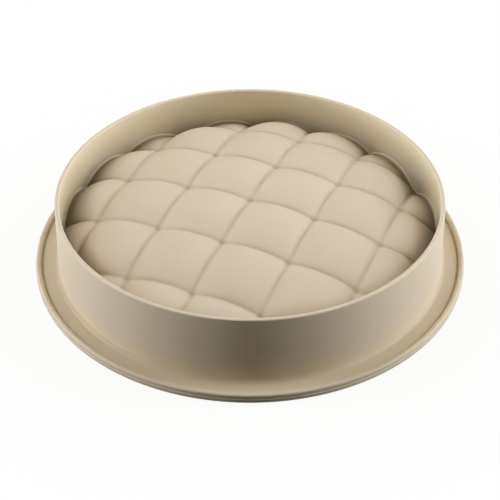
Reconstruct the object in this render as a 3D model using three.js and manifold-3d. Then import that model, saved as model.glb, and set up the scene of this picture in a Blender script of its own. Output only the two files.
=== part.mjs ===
// Silicone cake mould with a quilted crown, standing upside down on its flange.
// Millimetres, +Z up. The origin is the centre of the flange's underside, and the seams of the
// quilting run along X and Y.
import * as THREE from 'three';
import { mergeVertices } from 'three/addons/utils/BufferGeometryUtils.js';
import Module from 'manifold-3d';

const wasm = await Module();
wasm.setup();

// Wall and foot ring
const footRingRadius = 110; // outside of the wall at its free edge
const height = 43.4; // flange underside to the free edge
const wall = 2.4;
const draft = THREE.MathUtils.degToRad(2.4); // the wall widens towards the flange
const footEdgeRound = 0.8;

// Flange and rim bead
const flangeWidth = 12.9; // from the wall's foot to the rim
const flangeThickness = 2.4;
const rootFillet = 2.6; // wall to flange
const mouthRound = 1.4; // edge of the opening
const rimRound = 0.4;
const beadWidth = 2.8;
const beadHeight = 2.4; // above the flange
const beadRound = 1.1;
const ledge = 0.35; // the flange stands this far proud of the bead, along the mould's parting line
const gutterWidth = 1.3; // fine gutter at the bead's inner foot
const gutterDepth = 0.9;

// Quilted crown
const crownRecess = 7.3; // free edge down to the seam crossing on the axis
const domeRadius = 376; // sphere that the seam crossings lie on
const shoulderWidth = 20; // outer band where the crown rolls down to the wall
const shoulderDrop = 7;
const shoulderPower = 1.6; // the higher, the later the roll sets in
const outerBand = 28.5; // band inside the wall where the quilting is deeper
const outerSink = 1.9; // how far the seams sink there
const outerRise = 0.8; // how far the pillows' tops rise there
const quiltPitch = 39;
const seamRise = 2.35; // a seam's arch between two crossings
const pillowRise = 3.65; // a pillow's crown over its seams
const pillowPower = 0.75; // the lower, the fuller a pillow beside its seams
const crownSkin = 2.6; // thickness of the crown, measured upright

// Steel hoop inside the bead
const hoopWire = 1.6;
const hoopClearance = 0.3;
const hoopCover = 0.5; // silicone outside the hoop's channel
const pinHole = 2; // left by the pins that held the hoop while the silicone was moulded
const pinHoles = 8;

// Facets
const turns = 72; // round the axis
const wireSides = 8;
const cellSteps = 6; // across one pillow
const arcFacet = 0.8; // longest facet round a profile's corner

// Radius of the wall's outer face at a height.
const wallRadius = (z) => footRingRadius + (height - z) * Math.tan(draft);
const rimRadius = wallRadius(flangeThickness) + flangeWidth;
const beadOuter = rimRadius - ledge;
const beadInner = beadOuter - beadWidth;
const beadTop = flangeThickness + beadHeight;
const hoopRadius = beadOuter - hoopCover - hoopClearance - hoopWire / 2;
const hoopHeight = beadTop / 2;

// A solid of the boolean library from a closed geometry.
function solid(geometry) {
  const bare = geometry.clone();
  bare.deleteAttribute('normal');
  bare.deleteAttribute('uv');
  const merged = mergeVertices(bare, 1e-4);
  return new wasm.Manifold(new wasm.Mesh({
    numProp: 3,
    vertProperties: new Float32Array(merged.attributes.position.array),
    triVerts: new Uint32Array(merged.index.array),
  }));
}

// The geometry of a boolean library's solid.
function geometryOf(body) {
  const { vertProperties, triVerts } = body.getMesh();
  const geometry = new THREE.BufferGeometry();
  geometry.setAttribute('position', new THREE.BufferAttribute(new Float32Array(vertProperties), 3));
  geometry.setIndex(new THREE.BufferAttribute(new Uint32Array(triVerts), 1));
  geometry.computeVertexNormals();
  return geometry;
}

// A closed outline from corners [radius, height, rounding]: each rounded corner becomes an arc that
// is tangent to both of its sides, and a rounding of 0 leaves the corner sharp.
function roundedOutline(corners) {
  const points = [];
  corners.forEach(([r, z, rounding = 0], i) => {
    const corner = new THREE.Vector2(r, z);
    if (rounding === 0) {
      points.push(corner);
      return;
    }
    const [rBefore, zBefore] = corners.at(i - 1);
    const [rAfter, zAfter] = corners[(i + 1) % corners.length];
    const back = new THREE.Vector2(rBefore, zBefore).sub(corner).normalize();
    const ahead = new THREE.Vector2(rAfter, zAfter).sub(corner).normalize();
    const half = Math.acos(back.dot(ahead)) / 2;
    const middle = back.clone().add(ahead).normalize();
    const centre = corner.clone().addScaledVector(middle, rounding / Math.sin(half));
    const first = corner.clone().addScaledVector(back, rounding / Math.tan(half));
    const sweep = Math.sign(ahead.cross(back)) * (Math.PI - 2 * half);
    const steps = Math.ceil(Math.abs(sweep) * rounding / arcFacet);
    for (let k = 0; k <= steps; k += 1) {
      points.push(first.clone().rotateAround(centre, sweep * k / steps));
    }
  });
  return [...points, points[0].clone()];
}

// A solid of revolution about Z from an outline of [radius, height] points.
function revolve(outline) {
  return new THREE.LatheGeometry(outline, turns).rotateX(Math.PI / 2);
}

// Wall, foot ring, flange and rim bead: one outline turned about the axis.
function ringGeometry() {
  const innerRadius = (z) => wallRadius(z) - wall;
  return revolve(roundedOutline([
    [innerRadius(0), 0, mouthRound],
    [rimRadius, 0, rimRound],
    [rimRadius, flangeThickness, rimRound],
    [beadOuter, flangeThickness],
    [beadOuter, beadTop, beadRound],
    [beadInner, beadTop, beadRound],
    [beadInner, flangeThickness - gutterDepth],
    [beadInner - gutterWidth, flangeThickness],
    [wallRadius(flangeThickness), flangeThickness, rootFillet],
    [footRingRadius, height, footEdgeRound],
    [innerRadius(height), height, footEdgeRound],
  ]));
}

// Height of the crown's outer face. The seam crossings lie on a sphere that rolls down at the wall.
// Between crossings the seams arch, and each pillow swells over its four seams. Towards the wall the
// seams sink and the pillows rise, so that the quilting ends in rounded lobes.
function crownHeight(x, y) {
  const radius = Math.min(Math.hypot(x, y), wallRadius(0));
  const fall = domeRadius - Math.sqrt(domeRadius ** 2 - radius ** 2);
  const into = (band) => Math.max(0, radius - (footRingRadius - wall - band)) / band;
  const roll = shoulderDrop * into(shoulderWidth) ** shoulderPower;
  const outer = Math.min(1, into(outerBand));
  const [across, along] = [x, y].map((place) => {
    const cell = place / quiltPitch - Math.floor(place / quiltPitch);
    return Math.abs(2 * cell - 1);
  });
  const seam = seamRise * (1 - (across * along) ** 2) - outerSink * outer;
  const swell = pillowRise + (outerSink + outerRise) * outer;
  const pillow = swell * ((1 - across ** 2) * (1 - along ** 2)) ** pillowPower;
  return height - crownRecess - fall - roll + seam + pillow;
}

// Grid lines of the quilting on one axis: a line on every seam, and closer lines beside it, where a
// pillow curves most.
function quiltLines() {
  const cells = Math.ceil(wallRadius(0) / quiltPitch);
  const lines = [];
  for (let cell = -cells; cell < cells; cell += 1) {
    for (let step = 0; step < cellSteps; step += 1) {
      const share = (1 - Math.cos(Math.PI * step / cellSteps)) / 2;
      lines.push((cell + share) * quiltPitch);
    }
  }
  return [...lines, cells * quiltPitch];
}

// A square sheet of quilting, one skin thick: the outer face, the same face one skin lower on the
// cavity side, and a border that closes the two.
function quiltedSheet() {
  const lines = quiltLines();
  const count = lines.length;
  const face = (drop) => lines.flatMap((y) => lines.map((x) => [x, y, crownHeight(x, y) - drop]));
  const positions = [...face(0), ...face(crownSkin)].flat();
  const lower = count * count;
  const index = [];
  const quad = (a, b, c, d) => index.push(a, b, c, a, c, d);
  const last = count - 1;
  for (let row = 0; row < last; row += 1) {
    for (let column = 0; column < last; column += 1) {
      const a = row * count + column;
      const [b, c, d] = [a + 1, a + count + 1, a + count];
      quad(a, b, c, d);
      quad(lower + d, lower + c, lower + b, lower + a);
    }
    const borders = [
      [row, row + 1],
      [row * count + last, (row + 1) * count + last],
      [last * count + row + 1, last * count + row],
      [(row + 1) * count, row * count],
    ];
    borders.forEach(([from, to]) => quad(lower + from, lower + to, to, from));
  }
  const geometry = new THREE.BufferGeometry();
  geometry.setAttribute('position', new THREE.Float32BufferAttribute(positions, 3));
  geometry.setIndex(index);
  return geometry;
}

// Everything inside the middle of the wall's thickness, which trims the quilted sheet to a disc that
// runs half a wall into the ring.
function trimGeometry() {
  const middle = (z) => wallRadius(z) - wall / 2;
  return revolve([
    new THREE.Vector2(0, 0),
    new THREE.Vector2(middle(0), 0),
    new THREE.Vector2(middle(height), height),
    new THREE.Vector2(0, height),
  ]);
}

// A ring of round wire about the axis.
function wireRing(radius, z, thickness) {
  return new THREE.TorusGeometry(radius, thickness / 2, wireSides, turns).translate(0, 0, z);
}

// Upright holes from the underside to the middle of the hoop, evenly spaced round it.
function pinHoleGeometries() {
  const below = 1;
  const depth = hoopHeight + below;
  return Array.from({ length: pinHoles }, (_, i) => {
    const angle = (2 * Math.PI * (i + 0.5)) / pinHoles;
    return new THREE.CylinderGeometry(pinHole / 2, pinHole / 2, depth, 2 * wireSides)
      .rotateX(Math.PI / 2)
      .translate(hoopRadius * Math.cos(angle), hoopRadius * Math.sin(angle), depth / 2 - below);
  });
}

// The moulding: the quilted disc grown into its ring, less the space that the hoop fills.
function mouldGeometry() {
  const crown = solid(quiltedSheet()).intersect(solid(trimGeometry()));
  let body = solid(ringGeometry()).add(crown);
  body = body.subtract(solid(wireRing(hoopRadius, hoopHeight, hoopWire + 2 * hoopClearance)));
  for (const hole of pinHoleGeometries()) {
    body = body.subtract(solid(hole));
  }
  return geometryOf(body);
}

const silicone = new THREE.MeshStandardMaterial({ color: 0xcdbfa5, roughness: 0.55, metalness: 0 });
const steel = new THREE.MeshStandardMaterial({ color: 0xb4b7ba, roughness: 0.35, metalness: 1 });

const mould = new THREE.Group();

function addPiece(name, geometry, material) {
  const piece = new THREE.Mesh(geometry, material);
  piece.name = name;
  mould.add(piece);
}

addPiece('silicone_mould', mouldGeometry(), silicone);
addPiece('rim_hoop', wireRing(hoopRadius, hoopHeight, hoopWire), steel);

export default mould;
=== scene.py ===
"""Looks of a silicone cake mould with a quilted crown, built around its CAD model.

The file is laid out as an add-on and run as a script: sizes, colours and stage settings are property
groups, each piece has an operator, and main() calls the operators in order. Lengths are metres in the
CAD frame: +Z up, the origin at the centre of the flange's underside, the quilting's seams along X and Y.
"""

import math

import bpy
import numpy as np
from bpy.props import FloatProperty, FloatVectorProperty, IntProperty, PointerProperty
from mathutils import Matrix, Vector


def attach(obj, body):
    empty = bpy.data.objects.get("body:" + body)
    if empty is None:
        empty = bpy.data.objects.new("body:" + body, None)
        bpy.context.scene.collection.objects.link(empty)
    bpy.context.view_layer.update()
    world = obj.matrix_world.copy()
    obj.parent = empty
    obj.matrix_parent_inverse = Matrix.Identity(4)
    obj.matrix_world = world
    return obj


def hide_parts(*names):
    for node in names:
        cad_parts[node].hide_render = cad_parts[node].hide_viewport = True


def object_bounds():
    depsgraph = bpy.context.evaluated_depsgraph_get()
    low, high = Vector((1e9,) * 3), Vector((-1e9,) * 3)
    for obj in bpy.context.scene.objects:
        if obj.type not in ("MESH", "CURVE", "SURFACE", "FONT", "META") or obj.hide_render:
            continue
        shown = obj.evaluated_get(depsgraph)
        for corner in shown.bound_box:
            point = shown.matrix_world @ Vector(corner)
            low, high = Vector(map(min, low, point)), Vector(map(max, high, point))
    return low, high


bl_info = {
    "name": "Quilted silicone cake mould",
    "version": (1, 0, 0),
    "blender": (4, 5, 0),
    "location": "View3D > Sidebar > Cake mould",
    "description": "Builds a quilted silicone cake mould, its rim hoop and its stage around the CAD model",
    "category": "Add Mesh",
}

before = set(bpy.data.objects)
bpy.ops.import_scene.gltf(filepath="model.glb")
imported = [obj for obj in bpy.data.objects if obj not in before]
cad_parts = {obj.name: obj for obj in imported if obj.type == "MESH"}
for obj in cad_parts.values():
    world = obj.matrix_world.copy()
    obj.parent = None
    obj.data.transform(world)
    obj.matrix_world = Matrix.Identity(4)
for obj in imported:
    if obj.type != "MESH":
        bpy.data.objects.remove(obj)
CAD_LOW, CAD_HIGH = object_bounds()

MM = 0.001
BODY = "root"
WHITE = (1, 1, 1, 1)
BLACK = (0, 0, 0, 1)

# How the crown's roll grows towards the wall, and how full its pillows are.
SHOULDER_POWER = 1.6
PILLOW_POWER = 0.75

# How finely the surfaces are divided, and how their parts are joined.
SEAM_CROWDING = 0.8
TRIM_GAP = 1 * MM
EDGE_MARGIN = 0.3 * MM
MERGE_STEP = 0.001 * MM
OUTLINE_FACET = 0.25 * MM
OUTLINE_LAP = 4 * MM
CORNER_TURNS = 3
CREASE_RINGS = 7
LEDGE_RINGS = 8
FILLET_RINGS = 9
WIRE_AROUND = 360
WIRE_ACROSS = 16
PIN_ACROSS = 24
PIN_LEAD = 1 * MM
SHARP_ANGLE = math.radians(40)

# Each point's share of the painted shade in creases and seams, and of the painted bounce light, a warmer
# colour laid where walls close round.
PAINTED_SHADE_ATTRIBUTE = "painted_shade_share"
OUTER_PAINTED_SHADE = 0.04
INNER_PAINTED_SHADE = 0.16
OUTER_PAINTED_BOUNCE = 0.6
QUILT_PAINTED_BOUNCE = 0.3

# Sizes of the patterns. The real grain of the tool, about 0.1 mm, and the real marks of the wire's die are
# too fine to show, so both are drawn as coarse as they need to be.
MOTTLE_SIZE = 14 * MM
GRAIN_SIZE = 0.9 * MM
GRAIN_DEPTH = 0.05 * MM
DIE_MARK_SIZE = 0.4 * MM

# The light table: half its side in metres, the gap over it, its glow under the mould from the bright side
# to the dim one, how white it is at the rim, and how many rim radii out it is quite white.
TABLE_HALF = 3.0
TABLE_GAP = 0.02 * MM
GLOW_SLANT = (0.75, 0.66, 0)
GLOW_BRIGHT = 1.7
GLOW_DIM = 0.15
RIM_WHITE = 0.92
FULL_WHITE = 1.8


def linear(hex_colour):
    """An sRGB colour written as six hex digits, as linear red, green and blue."""
    shares = np.array([int(hex_colour[i : i + 2], 16) for i in (0, 2, 4)]) / 255
    return tuple(np.where(shares <= 0.04045, shares / 12.92, ((shares + 0.055) / 1.055) ** 2.4))


def length(name, description, millimetres):
    """A length property whose default is written in millimetres."""
    return FloatProperty(
        name=name, description=description, default=millimetres * MM, unit="LENGTH", precision=5
    )


def degrees(name, description, default):
    """An angle property whose default is written in degrees."""
    return FloatProperty(name=name, description=description, default=math.radians(default), subtype="ANGLE")


def tint(name, description, hex_colour):
    """A colour property whose default is written as sRGB hex digits."""
    return FloatVectorProperty(
        name=name, description=description, default=linear(hex_colour), subtype="COLOR"
    )


def strength(name, light, default):
    """A property for how strong a light is."""
    return FloatProperty(name=name, description="Strength of " + light, default=default)


class RingSizes(bpy.types.PropertyGroup):
    """Wall, foot ring, flange and rim bead."""

    height: FloatProperty(
        name="Height",
        description="Flange underside to the foot ring's free edge",
        default=CAD_HIGH[2] - CAD_LOW[2],
        unit="LENGTH",
    )
    rim_radius: FloatProperty(
        name="Rim radius",
        description="Outside of the flange",
        default=(CAD_HIGH[0] - CAD_LOW[0]) / 2,
        unit="LENGTH",
    )
    foot_radius: length("Foot ring radius", "Outside of the wall at its free edge", 110)
    wall: length("Wall", "Thickness of the wall", 2.4)
    draft: degrees("Draft", "How far the wall leans out towards the flange", 2.4)
    foot_round: length("Foot edge rounding", "Rounding of the free edge's two corners", 0.8)
    flange: length("Flange", "Thickness of the flange", 2.4)
    root_fillet: length("Root fillet", "Fillet between wall and flange", 2.6)
    mouth_round: length("Mouth rounding", "Rounding of the opening's edge", 1.4)
    rim_round: length("Rim rounding", "Rounding of the flange's outer corners", 0.4)
    bead_width: length("Bead width", "Width of the raised rim bead", 2.8)
    bead_height: length("Bead height", "Height of the bead above the flange", 2.4)
    bead_round: length("Bead rounding", "Rounding of the bead's top", 1.1)
    ledge: length("Ledge", "Step at the parting line, outside the bead", 0.35)
    gutter_width: length("Gutter width", "Fine gutter at the bead's inner foot", 1.3)
    gutter_depth: length("Gutter depth", "Depth of that gutter", 0.9)


class CrownSizes(bpy.types.PropertyGroup):
    """The quilted crown."""

    recess: length("Recess", "Free edge down to the seam crossing on the axis", 7.3)
    dome_radius: length("Dome radius", "Sphere that the seam crossings lie on", 376)
    shoulder_width: length("Shoulder width", "Outer band where the crown rolls down to the wall", 20)
    shoulder_drop: length("Shoulder drop", "How far the crown rolls down there", 7)
    outer_band: length("Outer band", "Band inside the wall where the pillows stand further apart", 28.5)
    outer_sink: length("Outer sink", "How far the seams sink there", 1.9)
    outer_rise: length("Outer rise", "How far the pillows' tops rise there", 0.8)
    pitch: length("Quilt pitch", "Seam to seam", 39)
    seam_rise: length("Seam rise", "A seam's arch between two crossings", 2.35)
    pillow_rise: length("Pillow rise", "A pillow's crown over its seams", 3.65)
    skin: length("Skin", "Thickness of the crown, measured upright", 2.6)
    groove_depth: length("Groove depth", "Narrow groove along each seam", 0.27)
    groove_width: length("Groove width", "Half width of that groove", 1.0)
    dimple_depth: length("Dimple depth", "Where two grooves cross", 0.8)
    dimple_width: length("Dimple width", "Half width of that dimple", 2.2)
    crease: length("Crease", "Rounding of a seam at its bottom", 0.7)
    ridge: length("Ridge", "Rounding of the same seam on the cavity side", 1.4)
    ledge_width: length("Ledge width", "Narrow ledge between the quilting and the wall", 1.1)
    ledge_rise: length("Ledge rise", "Height of the ledge over the crease at its foot", 2.0)
    ledge_round: length("Ledge rounding", "Length of the rounding in the crease and on the ledge", 0.6)
    cavity_fillet: length("Cavity fillet", "Rounding where the cavity's ceiling meets its wall", 3.5)
    steps: IntProperty(name="Pillow steps", description="Grid lines across one pillow", default=28, min=6)


class HoopSizes(bpy.types.PropertyGroup):
    """The steel hoop inside the rim bead."""

    wire: length("Wire", "Diameter of the wire", 1.6)
    clearance: length("Clearance", "Between the wire and its channel", 0.3)
    cover: length("Cover", "Silicone outside the channel", 0.5)
    pin_hole: length("Pin hole", "Diameter of a hole left by a moulding pin", 2)
    pin_holes: IntProperty(name="Pin holes", description="Holes round the underside", default=8, min=1)


class Finish(bpy.types.PropertyGroup):
    """Colours of the silicone, the steel and the floor; on the silicone, also the colours of its painted
    bounce light and painted shade.
    """

    silicone: tint("Silicone", "Pigmented silicone", "d5c8bc")
    silicone_deep: tint("Silicone, deeper", "The same silicone where its pigment is denser", "d0c2b4")
    # Painted bounce light: a warmer colour laid on the silicone where walls close round it.
    silicone_painted_bounce: tint(
        "Painted bounce light", "The same silicone where walls close round it and light comes back", "d8cca8"
    )
    # Painted shade: a dark colour laid into the silicone's corners and creases.
    silicone_painted_shade: tint(
        "Painted crease shade", "The same silicone in corners, where the light that enters is lost", "4a3f35"
    )
    # Painted shade: a colour laid into the silicone's narrow seams.
    silicone_painted_seam_shade: tint(
        "Painted seam shade", "The same silicone in narrow seams, where light goes to and fro", "74633a"
    )
    steel: tint("Steel", "Drawn stainless wire", "b9bbbd")
    floor: tint("Floor", "Pale studio floor", "f6f5f3")
    floor_bounce: tint("Floor bounce", "Colour of the light it returns", "33312b")


class Stage(bpy.types.PropertyGroup):
    """Camera, lights and the black card in front."""

    azimuth: degrees("Azimuth", "Camera's turn about the axis", 22.955)
    elevation: degrees("Elevation", "Camera's height angle", 38.756)
    distance: length("Distance", "Camera to the origin", 720.3)
    view_angle: degrees("View angle", "Across the square picture", 23.10)
    left_low: strength("Left strip", "the strip light on the floor at the left", 1.55)
    left: strength("Left light", "the light on the left", 0.85)
    left_high: strength("Upper left light", "the light over the left one", 0.95)
    right_low: strength("Right strip", "the strip light on the floor at the right", 1.16)
    right: strength("Right light", "the light on the right", 1.4)
    right_high: strength("Upper right light", "the light over the right one", 0.93)
    back: strength("Back light", "the high light behind", 0.26)
    front: strength("Front light", "the light over the card", 0.55)
    beside: strength("Warm lights", "each light beside the card", 0.32)
    fill: strength("Fill", "the room's light on the object", 0.245)
    softness: degrees("Softness", "Angle that each light fills", 30)
    strip: degrees("Strip", "Angle that each strip light fills", 6)
    lamp_colour: tint("Lamps", "Tint of the lights at the sides, behind and in front", "fbfffd")
    warm_colour: tint("Warm lamps", "Tint of the lights beside the card", "fff0a0")
    fill_colour: tint("Fill colour", "Tint of the room's light", "ffe8b0")
    card_distance: length("Card distance", "From the axis to the black card in front", 250)
    card_width: length("Card width", "Width of the card", 520)
    card_height: length("Card height", "Height of the card", 130)


def new_object(name, vertices, faces):
    """A mesh object in the scene."""
    mesh = bpy.data.meshes.new(name)
    mesh.from_pydata(vertices, [], faces)
    mesh.update()
    thing = bpy.data.objects.new(name, mesh)
    bpy.context.scene.collection.objects.link(thing)
    return thing


def finish_piece(piece, material, replaced):
    """Shade a piece smooth, give it its material, and let it ride on the body for a CAD node."""
    piece.data.shade_smooth()
    piece.data.set_sharp_from_angle(angle=SHARP_ANGLE)
    piece.data.materials.append(material)
    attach(piece, BODY)
    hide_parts(replaced)


def cut(piece, vertices, faces):
    """Cut the inside of a closed surface out of a piece."""
    cutter = new_object("cutter", vertices, faces)
    modifier = piece.modifiers.new("cut", "BOOLEAN")
    modifier.operation = "DIFFERENCE"
    modifier.solver = "EXACT"
    modifier.object = cutter
    whole = piece.data
    evaluated = piece.evaluated_get(bpy.context.evaluated_depsgraph_get())
    piece.data = bpy.data.meshes.new_from_object(evaluated)
    piece.modifiers.clear()
    for mesh in (whole, cutter.data):
        bpy.data.meshes.remove(mesh)


def wall_radius(ring, z):
    """Outside of the wall at a height: a cone that widens downwards."""
    return ring.foot_radius + (ring.height - z) * math.tan(ring.draft)


def crown_height(ring, crown, x, y, rounding):
    """Height of the pillows over a point.

    The seam crossings lie on a sphere, less a roll towards the wall that grows with the shoulder's power. In
    each cell, a and b run from 0 in the middle to 1 on the seams, rounded there. The seams arch by
    rise * (1 - (a b)^2), and the pillow swells over them by rise * ((1 - a^2) (1 - b^2)), raised to the
    pillow's power. In the outer band the seams sink, in proportion to the way into it, and the pillows'
    tops rise.
    """
    radius = np.hypot(x, y)
    fall = crown.dome_radius - np.sqrt(crown.dome_radius**2 - radius**2)
    inside = ring.foot_radius - ring.wall
    beyond = np.maximum(radius - inside + crown.shoulder_width, 0) / crown.shoulder_width
    roll = crown.shoulder_drop * beyond**SHOULDER_POWER
    outer = np.clip((radius - inside + crown.outer_band) / crown.outer_band, 0, 1)
    a, b = (from_middle(place / crown.pitch, 2 * rounding / crown.pitch) for place in (x, y))
    seam = crown.seam_rise * (1 - (a * b) ** 2) - crown.outer_sink * outer
    swell = crown.pillow_rise + (crown.outer_sink + crown.outer_rise) * outer
    pillow = swell * ((1 - a**2) * (1 - b**2)) ** PILLOW_POWER
    return ring.height - crown.recess - fall - roll + seam + pillow


def groove_depth(crown, x, y):
    """Depth of the stitched look: a groove along every seam and a dimple at every crossing.

    Each is a bell, depth * exp(-(distance / width)^2), of the distance to the seam or to the crossing.
    """
    across, along = (np.abs(place - crown.pitch * np.round(place / crown.pitch)) for place in (x, y))
    groove = crown.groove_depth * np.exp(-((np.minimum(across, along) / crown.groove_width) ** 2))
    return groove + crown.dimple_depth * np.exp(-(across**2 + along**2) / crown.dimple_width**2)


def from_middle(cells, rounding):
    """0 in the middle of a cell and 1 on its seams, with a hyperbola's rounding at the seams."""
    to_seam = 1 - np.abs(2 * (cells - np.floor(cells)) - 1)
    rounded = np.hypot(to_seam, rounding) - rounding
    return 1 - rounded / (math.hypot(1, rounding) - rounding)


def quilt_lines(crown, reach):
    """Grid lines on one axis, crowded towards the seams: share - crowding * sin(2 pi share) / (2 pi)."""
    cells = math.ceil(reach / crown.pitch)
    share = np.linspace(-cells, cells, 2 * cells * crown.steps + 1)
    return (share - SEAM_CROWDING * np.sin(2 * np.pi * share) / (2 * np.pi)) * crown.pitch


def trimmed_grid(lines, radius):
    """A square grid trimmed to a disc: points outside slide along their own grid line onto the circle.

    Points that meet there become one, and triangles that lose a corner go. Returns x, y, the triangles, and
    the points on the circle in order of angle.
    """
    x, y = np.meshgrid(lines, lines)
    diagonal = radius / math.sqrt(2)
    outside = np.hypot(x, y) > radius - EDGE_MARGIN
    along_y = outside & (np.abs(x) < diagonal)
    along_x = outside & ~along_y & (np.abs(y) < diagonal)
    corner = outside & ~along_y & ~along_x
    y = np.where(along_y, np.sign(y) * np.sqrt(np.maximum(radius**2 - x**2, 0)), y)
    x = np.where(along_x, np.sign(x) * np.sqrt(np.maximum(radius**2 - y**2, 0)), x)
    x = np.where(corner, np.sign(x) * diagonal, x)
    y = np.where(corner, np.sign(y) * diagonal, y)
    places = np.stack([x.ravel(), y.ravel()], axis=1)
    snapped = np.round(places / MERGE_STEP)
    _, first, merged = np.unique(snapped, axis=0, return_index=True, return_inverse=True)
    merged = merged.reshape(x.shape)
    a, b, c, d = merged[:-1, :-1], merged[:-1, 1:], merged[1:, 1:], merged[1:, :-1]
    triangles = np.concatenate([np.stack(t, axis=-1).reshape(-1, 3) for t in ((a, b, c), (a, c, d))])
    ordered = np.sort(triangles, axis=1)
    triangles = triangles[(np.diff(ordered, axis=1) > 0).all(axis=1)]
    x, y = places[first].T
    on_circle = np.flatnonzero(outside.ravel()[first])
    return x, y, triangles, on_circle[np.argsort(np.arctan2(y, x)[on_circle])]


def rounded_outline(corners, facet):
    """An open outline from corners (radius, height, rounding): a rounded corner becomes a tangent arc.

    Each straight run of more than three facets gets a point one facet from either end, which keeps its
    shading straight.
    """
    corners = np.array(corners)
    points = [corners[:1, :2]]
    for before, (r, z, rounding), after in zip(corners[:-2], corners[1:-1], corners[2:]):
        corner = np.array([r, z])
        back = (before[:2] - corner) / np.linalg.norm(before[:2] - corner)
        ahead = (after[:2] - corner) / np.linalg.norm(after[:2] - corner)
        half = math.acos(np.dot(back, ahead)) / 2
        middle = (back + ahead) / np.linalg.norm(back + ahead)
        centre = corner + middle * rounding / math.sin(half)
        sweep = math.pi - 2 * half
        turn = np.linspace(-0.5, 0.5, math.ceil(sweep * rounding / facet) + 1) * sweep
        side = np.array([-middle[1], middle[0]]) * np.sign(np.cross(middle, ahead))
        points.append(centre + rounding * (np.outer(np.sin(turn), side) - np.outer(np.cos(turn), middle)))
    points = np.concatenate([*points, corners[-1:, :2]])
    run = np.diff(points, axis=0)
    span = np.linalg.norm(run, axis=1)
    straight = np.flatnonzero(span > 3 * facet)
    step = facet * (run / span[:, None])[straight]
    ends = np.stack([points[straight] + step, points[straight + 1] - step], axis=1).reshape(-1, 2)
    return np.insert(points, np.repeat(straight + 1, 2), ends, axis=0)


def ring_outline(ring):
    """The ring's outline from its inner free edge, over the outside, to the cavity's mouth.

    At both ends it takes in a short lap of the wall's inner face.
    """
    rim = ring.rim_radius
    bead_out = rim - ring.ledge
    bead_in = bead_out - ring.bead_width
    bead_top = ring.flange + ring.bead_height
    inner_top = wall_radius(ring, ring.height) - ring.wall
    inner_foot = wall_radius(ring, 0) - ring.wall
    upper_lap = ring.height - OUTLINE_LAP
    return rounded_outline(
        [
            (wall_radius(ring, upper_lap) - ring.wall, upper_lap, 0),
            (inner_top, ring.height, ring.foot_round),
            (ring.foot_radius, ring.height, ring.foot_round),
            (wall_radius(ring, ring.flange), ring.flange, ring.root_fillet),
            (bead_in - ring.gutter_width, ring.flange, 0),
            (bead_in, ring.flange - ring.gutter_depth, 0),
            (bead_in, bead_top, ring.bead_round),
            (bead_out, bead_top, ring.bead_round),
            (bead_out, ring.flange, 0),
            (rim, ring.flange, ring.rim_round),
            (rim, 0, ring.rim_round),
            (inner_foot, 0, ring.mouth_round),
            (wall_radius(ring, OUTLINE_LAP) - ring.wall, OUTLINE_LAP, 0),
        ],
        OUTLINE_FACET,
    )


def wall_corner(ring, face, angle):
    """Radius and height where a crown face meets the wall's inner face, found by turns from the mouth up."""
    radius = wall_radius(ring, 0) - ring.wall
    for _ in range(CORNER_TURNS):
        height = face(radius * np.cos(angle), radius * np.sin(angle))
        radius = wall_radius(ring, height) - ring.wall
    return radius, height


def bend(start, corner, end, steps):
    """A parabola's arc, as rings: it leaves start towards the corner and arrives at end from it.

    At t from 0 to 1 it is (1 - t)^2 start + 2 t (1 - t) corner + t^2 end.
    """
    t = np.linspace(0, 1, steps)[:, None, None]
    return (1 - t) ** 2 * start + 2 * t * (1 - t) * corner + t**2 * end


def on_face(face, angle, radius):
    """Points (radius, height) of a crown face round a circle."""
    radius = radius * np.ones_like(angle)
    return np.stack([radius, face(radius * np.cos(angle), radius * np.sin(angle))])


def on_wall(ring, height):
    """Points (radius, height) on the wall's inner face."""
    return np.stack([wall_radius(ring, height) - ring.wall, height])


def ledge_rings(ring, crown, face, angle):
    """Rings from the quilting's edge to the wall, each as (radius, height).

    The quilting runs on to a crease one ledge width inside the wall. From there a slope rises by the ledge's
    height, turns over at the top and dips back to the wall. The crease and the top are parabolas. Two more
    rings lie on the wall, half a rounding and one rounding above the ledge.
    """
    radius, _ = wall_corner(ring, face, angle)
    crease = on_face(face, angle, radius - crown.ledge_width)
    before = on_face(face, angle, crease[0] - crown.ledge_round)
    top = np.stack([radius - crown.ledge_round / 2, crease[1] + crown.ledge_rise])
    slope = (top - crease) / np.linalg.norm(top - crease, axis=0) * crown.ledge_round
    behind = on_wall(ring, top[1])
    above = [on_wall(ring, top[1] + crown.ledge_round * step) for step in (0.5, 1)]
    return np.concatenate(
        [
            bend(before, crease, crease + slope, CREASE_RINGS),
            bend(top - slope, top, behind, LEDGE_RINGS),
            np.stack(above),
        ]
    )


def fillet_rings(ring, face, angle, reach):
    """Rings that round the corner between a crown face and the wall below it, as (radius, height).

    A parabola runs from the face, one reach inside the wall, towards the corner and to the wall one reach
    below it.
    """
    radius, height = wall_corner(ring, face, angle)
    start = on_face(face, angle, radius - reach)
    end = on_wall(ring, height - reach)
    return bend(start, np.stack([radius, height]), end, FILLET_RINGS)


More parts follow.
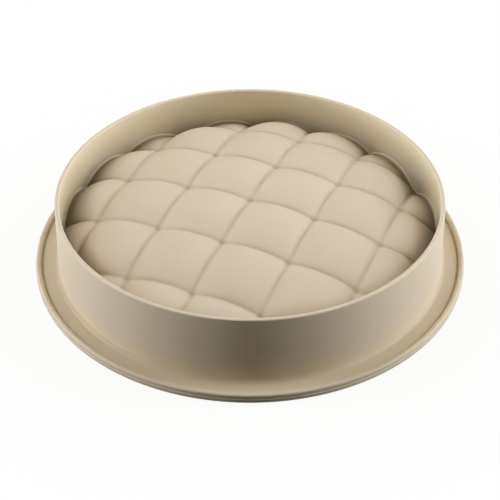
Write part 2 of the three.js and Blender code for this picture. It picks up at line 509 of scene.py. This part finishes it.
def moulding_surface(ring, crown):
    """The whole moulding as one closed surface.

    Two trimmed grids, the crown's outer face and its cavity face, are joined by rings that share the
    grids' own points on the circle: out to the foot ring, over the ring's outline and back up the cavity.
    Returns the points, the faces, and each point's share of the painted shade in creases and seams: full on
    the quilting and in the crease at its edge, less inside the ring and least outside it.
    """
    trim = wall_radius(ring, ring.height / 2) - ring.wall - crown.cavity_fillet - TRIM_GAP
    x, y, triangles, edge = trimmed_grid(quilt_lines(crown, trim), trim)
    angle = np.arctan2(y[edge], x[edge])

    def outer_face(x, y):
        return crown_height(ring, crown, x, y, crown.crease) - groove_depth(crown, x, y)

    def cavity_face(x, y):
        return crown_height(ring, crown, x, y, crown.ridge) - crown.skin

    ledge = ledge_rings(ring, crown, outer_face, angle)
    outline = ring_outline(ring)[:, :, None] * np.ones_like(angle)
    fillet = fillet_rings(ring, cavity_face, angle, crown.cavity_fillet)
    radius, height = np.concatenate([ledge, outline, fillet[::-1]]).transpose(1, 0, 2)
    rings = np.stack([radius * np.cos(angle), radius * np.sin(angle), height], axis=-1)
    top = np.stack([x, y, outer_face(x, y)], axis=1)
    ceiling = np.stack([x, y, cavity_face(x, y)], axis=1)

    points = len(x)
    around = len(edge)
    between = 2 * points + np.arange(rings.shape[0] * around).reshape(-1, around)
    index = np.concatenate([edge[None], between, points + edge[None]])
    ahead = np.roll(index, -1, axis=1)
    quads = np.stack([index[:-1], index[1:], ahead[1:], ahead[:-1]], axis=-1).reshape(-1, 4)
    vertices = np.concatenate([top, ceiling, rings.reshape(-1, 3)])
    faces = triangles.tolist() + (points + triangles[:, ::-1]).tolist() + quads.tolist()
    outside = radius > wall_radius(ring, height) - ring.wall / 2
    painted_shade_weight = np.where(outside, OUTER_PAINTED_SHADE, INNER_PAINTED_SHADE)
    painted_shade_weight[:CREASE_RINGS] = 1
    painted_shade_weight = np.concatenate([np.ones(2 * points), painted_shade_weight.ravel()])
    return vertices, faces, painted_shade_weight


def torus_surface(radius, z, tube):
    """A circle of wire: a small circle carried round a large one."""
    u = np.linspace(0, 2 * np.pi, WIRE_AROUND, endpoint=False)[:, None]
    v = np.linspace(0, 2 * np.pi, WIRE_ACROSS, endpoint=False)[None]
    r = radius + tube * np.cos(v) + 0 * u
    vertices = np.stack([r * np.cos(u), r * np.sin(u), z + tube * np.sin(v) + 0 * u], axis=-1).reshape(-1, 3)
    index = np.arange(WIRE_AROUND * WIRE_ACROSS).reshape(WIRE_AROUND, WIRE_ACROSS)
    right = np.roll(index, -1, axis=0)
    quads = np.stack([index, right, np.roll(right, -1, axis=1), np.roll(index, -1, axis=1)], axis=-1)
    return vertices, quads.reshape(-1, 4).tolist()


def pin_surface(radius, count, bottom, top, pin):
    """Upright pins, evenly spaced round a circle from half a step on.

    Each is two circles with a wall between and a lid on each.
    """
    turn = (np.arange(count) + 0.5) * 2 * np.pi / count
    v = np.linspace(0, 2 * np.pi, PIN_ACROSS, endpoint=False)
    whole = np.zeros((count, 2, PIN_ACROSS))
    x = radius * np.cos(turn)[:, None, None] + pin * np.cos(v) + whole
    y = radius * np.sin(turn)[:, None, None] + pin * np.sin(v) + whole
    z = np.array([bottom, top])[None, :, None] + whole
    index = np.arange(whole.size).reshape(whole.shape)
    low, high = index[:, 0], index[:, 1]
    walls = np.stack([low, np.roll(low, -1, axis=1), np.roll(high, -1, axis=1), high], axis=-1)
    faces = walls.reshape(-1, 4).tolist() + low[:, ::-1].tolist() + high.tolist()
    return np.stack([x, y, z], axis=-1).reshape(-1, 3), faces


def hoop_centre(ring, hoop):
    """Radius and height of the wire's centre: its cover and clearance inside the bead, half way up."""
    radius = ring.rim_radius - ring.ledge - hoop.cover - hoop.clearance - hoop.wire / 2
    return radius, (ring.flange + ring.bead_height) / 2


def add_node(tree, kind, settings=(), links=()):
    """A shader node with its settings, as (name, value) pairs, and links, as (input, socket) pairs.

    An input goes by its name, or by its number where inputs share a name.
    """
    node = tree.nodes.new(kind)
    for name, value in settings:
        if isinstance(name, int) or name in node.inputs:
            node.inputs[name].default_value = value
        else:
            setattr(node, name, value)
    for name, socket in links:
        tree.links.new(socket, node.inputs[name])
    return node


def new_material(name):
    """An empty node material and its tree."""
    material = bpy.data.materials.new(name)
    material.use_nodes = True
    material.node_tree.nodes.clear()
    return material, material.node_tree


def pressed_silicone(finish):
    """Platinum-cured silicone, pressed in a fine blasted steel tool.

    To the eye it is a satin, slightly translucent rubber: soft broad highlights, a faint mottle in the
    pigment and a fine even grain from the tool. Light and shade are also painted into its colour, by how
    open the surface is: a warmer colour as painted bounce light where walls close round it, and painted
    shade in its creases and seams.
    """
    material, tree = new_material("satin_pressed_silicone")
    place = add_node(tree, "ShaderNodeTexCoord").outputs["Object"]
    mottle = add_node(
        tree,
        "ShaderNodeTexNoise",
        [("Scale", 1 / MOTTLE_SIZE), ("Detail", 3), ("Roughness", 0.55)],
        [("Vector", place)],
    )
    pigment = add_node(
        tree,
        "ShaderNodeMix",
        [("data_type", "RGBA"), ("A", (*finish.silicone, 1)), ("B", (*finish.silicone_deep, 1))],
        [("Factor", mottle.outputs["Fac"])],
    )
    tone = pigment.outputs["Result"]
    # Each point's share of the painted shade in creases and seams.
    painted_shade_weight = add_node(tree, "ShaderNodeAttribute", [("attribute_name", PAINTED_SHADE_ATTRIBUTE)]).outputs["Fac"]
    # The painted bounce light's share follows from the painted shade's share.
    painted_bounce_share = add_node(
        tree,
        "ShaderNodeMapRange",
        [("From Min", OUTER_PAINTED_SHADE), ("From Max", 1), ("To Min", OUTER_PAINTED_BOUNCE), ("To Max", QUILT_PAINTED_BOUNCE)],
        [("Value", painted_shade_weight)],
    ).outputs["Result"]
    # The painted tones, in turn: painted bounce light, a warmer colour where walls close round, then painted
    # shade in creases, then painted shade in narrow seams. Each has the reach in which it looks for walls,
    # the openness at which it is full and the one at which it ends, its greatest share, the points' own
    # share of it, and its colour.
    for reach, full, ends, greatest, where, deeper in (
        (40 * MM, 0.4, 0.85, 1, painted_bounce_share, finish.silicone_painted_bounce),
        (18 * MM, 0.25, 0.8, 0.85, painted_shade_weight, finish.silicone_painted_shade),
        (4 * MM, 0, 1, 1, painted_shade_weight, finish.silicone_painted_seam_shade),
    ):
        openness = add_node(
            tree, "ShaderNodeAmbientOcclusion", [("only_local", True), ("samples", 8), ("Distance", reach)]
        )
        depth = add_node(
            tree,
            "ShaderNodeMapRange",
            [("From Min", full), ("From Max", ends), ("To Min", greatest), ("To Max", 0)],
            [("Value", openness.outputs["AO"])],
        )
        share = add_node(
            tree, "ShaderNodeMath", [("operation", "MULTIPLY")], [(0, depth.outputs["Result"]), (1, where)]
        )
        toned = add_node(
            tree,
            "ShaderNodeMix",
            [("data_type", "RGBA"), ("B", (*deeper, 1))],
            [("Factor", share.outputs["Value"]), ("A", tone)],
        )
        tone = toned.outputs["Result"]
    grain = add_node(
        tree, "ShaderNodeTexNoise", [("Scale", 1 / GRAIN_SIZE), ("Detail", 2)], [("Vector", place)]
    )
    bump = add_node(
        tree,
        "ShaderNodeBump",
        [("Strength", 0.08), ("Distance", GRAIN_DEPTH)],
        [("Height", grain.outputs["Fac"])],
    )
    shader = add_node(
        tree,
        "ShaderNodeBsdfPrincipled",
        [
            ("Roughness", 0.5),
            ("IOR", 1.41),
            ("Subsurface Weight", 0.1),
            ("Subsurface Radius", (1.0, 0.95, 0.6)),
            ("Subsurface Scale", 1 * MM),
        ],
        [("Base Color", tone), ("Normal", bump.outputs["Normal"])],
    )
    add_node(tree, "ShaderNodeOutputMaterial", [], [("Surface", shader.outputs["BSDF"])])
    return material


def drawn_steel(finish):
    """Stainless wire, drawn through a die: a bright metal whose polish varies finely over it."""
    material, tree = new_material("drawn_stainless_wire")
    place = add_node(tree, "ShaderNodeTexCoord").outputs["Object"]
    marks = add_node(tree, "ShaderNodeTexNoise", [("Scale", 1 / DIE_MARK_SIZE)], [("Vector", place)])
    rough = add_node(
        tree,
        "ShaderNodeMapRange",
        [("To Min", 0.25), ("To Max", 0.42)],
        [("Value", marks.outputs["Fac"])],
    )
    shader = add_node(
        tree,
        "ShaderNodeBsdfPrincipled",
        [("Base Color", (*finish.steel, 1)), ("Metallic", 1.0)],
        [("Roughness", rough.outputs["Result"])],
    )
    add_node(tree, "ShaderNodeOutputMaterial", [], [("Surface", shader.outputs["BSDF"])])
    return material


def seen_directly(tree):
    """1 for what the camera sees, directly, in a mirror or through glass, and 0 for light that bounces."""
    path = add_node(tree, "ShaderNodeLightPath")
    seen = path.outputs["Is Camera Ray"]
    for kind in ("Is Glossy Ray", "Is Transmission Ray"):
        either = add_node(
            tree, "ShaderNodeMath", [("operation", "MAXIMUM")], [(0, seen), (1, path.outputs[kind])]
        )
        seen = either.outputs["Value"]
    return seen


def light_table(finish, rim):
    """A light table of white acrylic: white to the eye, with the object's shadow round its rim.

    To the light that it returns it is dim. Under the mould it glows, more on one side than on the other, and
    from below it is clear, so that the underside can be looked at.
    """
    material, tree = new_material("light_table")
    matt = add_node(tree, "ShaderNodeBsdfDiffuse", [("Color", (*finish.floor, 1))])
    white = add_node(tree, "ShaderNodeEmission", [("Color", WHITE), ("Strength", 1.0)])
    bounce = add_node(tree, "ShaderNodeBsdfDiffuse", [("Color", (*finish.floor_bounce, 1))])
    clear = add_node(tree, "ShaderNodeBsdfTransparent")
    place = add_node(tree, "ShaderNodeTexCoord").outputs["Object"]
    away = add_node(tree, "ShaderNodeVectorMath", [("operation", "LENGTH")], [(0, place)]).outputs["Value"]
    aslant = add_node(
        tree, "ShaderNodeVectorMath", [("operation", "DOT_PRODUCT"), (1, GLOW_SLANT)], [(0, place)]
    )
    graded = add_node(
        tree,
        "ShaderNodeMapRange",
        [("From Min", -rim), ("From Max", rim), ("To Min", GLOW_BRIGHT), ("To Max", GLOW_DIM)],
        [("Value", aslant.outputs["Value"])],
    )
    glow = add_node(tree, "ShaderNodeEmission", [], [("Strength", graded.outputs["Result"])])
    under = add_node(tree, "ShaderNodeMath", [("operation", "LESS_THAN"), (1, rim)], [(0, away)])
    returned = add_node(
        tree,
        "ShaderNodeMixShader",
        [],
        [(0, under.outputs["Value"]), (1, bounce.outputs["BSDF"]), (2, glow.outputs["Emission"])],
    )
    whiteness = add_node(
        tree,
        "ShaderNodeMapRange",
        [("From Min", rim), ("From Max", FULL_WHITE * rim), ("To Min", RIM_WHITE), ("To Max", 1)],
        [("Value", away)],
    )
    eye = add_node(
        tree,
        "ShaderNodeMixShader",
        [],
        [(0, whiteness.outputs["Result"]), (1, matt.outputs["BSDF"]), (2, white.outputs["Emission"])],
    )
    above = add_node(
        tree,
        "ShaderNodeMixShader",
        [],
        [(0, seen_directly(tree)), (1, returned.outputs["Shader"]), (2, eye.outputs["Shader"])],
    )
    behind = add_node(tree, "ShaderNodeNewGeometry").outputs["Backfacing"]
    surface = add_node(
        tree,
        "ShaderNodeMixShader",
        [],
        [(0, behind), (1, above.outputs["Shader"]), (2, clear.outputs["BSDF"])],
    )
    add_node(tree, "ShaderNodeOutputMaterial", [], [("Surface", surface.outputs["Shader"])])
    return material


def black_card():
    """Matt black card, which keeps the light off whatever faces it."""
    material, tree = new_material("black_card")
    matt = add_node(tree, "ShaderNodeBsdfDiffuse", [("Color", BLACK)])
    add_node(tree, "ShaderNodeOutputMaterial", [], [("Surface", matt.outputs["BSDF"])])
    return material


def studio_world(stage):
    """A white backdrop to the eye, and a dim warm fill for the object."""
    world = bpy.data.worlds.new("studio")
    world.use_nodes = True
    tree = world.node_tree
    tree.nodes.clear()
    fill = add_node(
        tree, "ShaderNodeBackground", [("Color", (*stage.fill_colour, 1)), ("Strength", stage.fill)]
    )
    white = add_node(tree, "ShaderNodeBackground", [("Color", WHITE), ("Strength", 1.0)])
    surface = add_node(
        tree,
        "ShaderNodeMixShader",
        [],
        [(0, seen_directly(tree)), (1, fill.outputs["Background"]), (2, white.outputs["Background"])],
    )
    add_node(tree, "ShaderNodeOutputWorld", [], [("Surface", surface.outputs["Shader"])])
    return world


def direction(azimuth, elevation):
    """A unit vector from the origin: azimuth 0 is along -Y, and it turns towards +X."""
    level = math.cos(elevation)
    return Vector((math.sin(azimuth) * level, -math.cos(azimuth) * level, math.sin(elevation)))


def looking_back(towards):
    """Rotation of a lamp or camera that stands in a direction and looks back at the origin."""
    return (-towards).to_track_quat("-Z", "Y").to_euler()


class MOULD_OT_moulding(bpy.types.Operator):
    """Build the silicone moulding: crown, wall, foot ring, flange and bead in one piece"""

    bl_idname = "mould.moulding"
    bl_label = "Silicone moulding"

    def execute(self, context):
        ring, crown, hoop = context.scene.mould_ring, context.scene.mould_crown, context.scene.mould_hoop
        vertices, faces, painted_shade_weight = moulding_surface(ring, crown)
        piece = new_object("moulding", vertices, faces)
        # Each point's share of the painted shade in creases and seams, kept on the mesh.
        piece.data.attributes.new(PAINTED_SHADE_ATTRIBUTE, "FLOAT", "POINT").data.foreach_set("value", painted_shade_weight)
        radius, z = hoop_centre(ring, hoop)
        cut(piece, *torus_surface(radius, z, hoop.wire / 2 + hoop.clearance))
        cut(piece, *pin_surface(radius, hoop.pin_holes, -PIN_LEAD, z, hoop.pin_hole / 2))
        silicone = pressed_silicone(context.scene.mould_finish)
        finish_piece(piece, silicone, "silicone_mould")
        return {"FINISHED"}


class MOULD_OT_hoop(bpy.types.Operator):
    """Build the steel hoop inside the rim bead"""

    bl_idname = "mould.hoop"
    bl_label = "Rim hoop"

    def execute(self, context):
        ring, hoop = context.scene.mould_ring, context.scene.mould_hoop
        radius, z = hoop_centre(ring, hoop)
        piece = new_object("hoop", *torus_surface(radius, z, hoop.wire / 2))
        steel = drawn_steel(context.scene.mould_finish)
        finish_piece(piece, steel, "rim_hoop")
        return {"FINISHED"}


class MOULD_OT_stage(bpy.types.Operator):
    """Set the floor, the black card, the lights and the camera"""

    bl_idname = "mould.stage"
    bl_label = "Stage"

    def execute(self, context):
        scene = context.scene
        stage = scene.mould_stage
        scene.view_settings.view_transform = "Standard"
        scene.world = studio_world(stage)

        signs = ((-1, -1), (1, -1), (1, 1), (-1, 1))
        corners = [(x * TABLE_HALF, y * TABLE_HALF, -TABLE_GAP) for x, y in signs]
        floor = new_object("floor", corners, [(0, 1, 2, 3)])
        floor.data.materials.append(light_table(scene.mould_finish, scene.mould_ring.rim_radius))

        middle = direction(stage.azimuth, 0) * stage.card_distance
        across = direction(stage.azimuth + math.pi / 2, 0) * stage.card_width / 2
        up = Vector((0, 0, stage.card_height))
        corners = [middle - across, middle + across, middle + across + up, middle - across + up]
        card = new_object("card", corners, [(0, 1, 2, 3)])
        card.data.materials.append(black_card())
        # The camera looks past the card, which would hide the floor in front.
        card.visible_camera = False

        soft, strip = stage.softness, stage.strip
        plain, warm = stage.lamp_colour, stage.warm_colour
        # Each light has its turn from the camera's side and its rise over the floor in degrees, the angle
        # that it fills, its strength and its colour.
        for name, turn, rise, spread, power, colour in (
            ("light_left_low", 270, 1, strip, stage.left_low, plain),
            ("light_left", 266, 16, soft, stage.left, plain),
            ("light_left_high", 254, 42, soft, stage.left_high, plain),
            ("light_right_low", 90, 1, strip, stage.right_low, plain),
            ("light_right", 98, 18, soft, stage.right, plain),
            ("light_right_high", 108, 42, soft, stage.right_high, plain),
            ("light_back", 180, 70, soft, stage.back, plain),
            ("light_front", 10, 26, soft, stage.front, plain),
            ("light_front_left", 302, 8, soft, stage.beside, warm),
            ("light_front_right", 58, 8, soft, stage.beside, warm),
        ):
            lamp = bpy.data.lights.new(name, "SUN")
            lamp.angle = spread
            lamp.energy = power
            lamp.color = colour
            light = bpy.data.objects.new(name, lamp)
            towards = direction(stage.azimuth + math.radians(turn), math.radians(rise))
            light.rotation_euler = looking_back(towards)
            scene.collection.objects.link(light)

        camera = bpy.data.objects.new("camera", bpy.data.cameras.new("camera"))
        camera.data.sensor_fit = "HORIZONTAL"
        camera.data.angle = stage.view_angle
        towards = direction(stage.azimuth, stage.elevation)
        camera.location = towards * stage.distance
        camera.rotation_euler = looking_back(towards)
        scene.collection.objects.link(camera)
        scene.camera = camera
        return {"FINISHED"}


class MOULD_PT_panel(bpy.types.Panel):
    """Lists the pieces"""

    bl_idname = "MOULD_PT_panel"
    bl_label = "Cake mould"
    bl_space_type = "VIEW_3D"
    bl_region_type = "UI"
    bl_category = "Cake mould"

    def draw(self, context):
        for operator in OPERATORS:
            self.layout.operator(operator.bl_idname)


SETTINGS = {
    "mould_ring": RingSizes,
    "mould_crown": CrownSizes,
    "mould_hoop": HoopSizes,
    "mould_finish": Finish,
    "mould_stage": Stage,
}
OPERATORS = (MOULD_OT_moulding, MOULD_OT_hoop, MOULD_OT_stage)


def register():
    """Register the classes and hang the settings on the scene."""
    for group in (*SETTINGS.values(), *OPERATORS, MOULD_PT_panel):
        bpy.utils.register_class(group)
    for name, group in SETTINGS.items():
        setattr(bpy.types.Scene, name, PointerProperty(type=group))


def unregister():
    """Take the settings and the classes away again."""
    for name in SETTINGS:
        delattr(bpy.types.Scene, name)
    for group in (MOULD_PT_panel, *reversed(OPERATORS), *reversed(SETTINGS.values())):
        bpy.utils.unregister_class(group)


def main():
    """Build every piece and the stage."""
    register()
    bpy.ops.mould.moulding()
    bpy.ops.mould.hoop()
    bpy.ops.mould.stage()


if __name__ == "__main__":
    main()
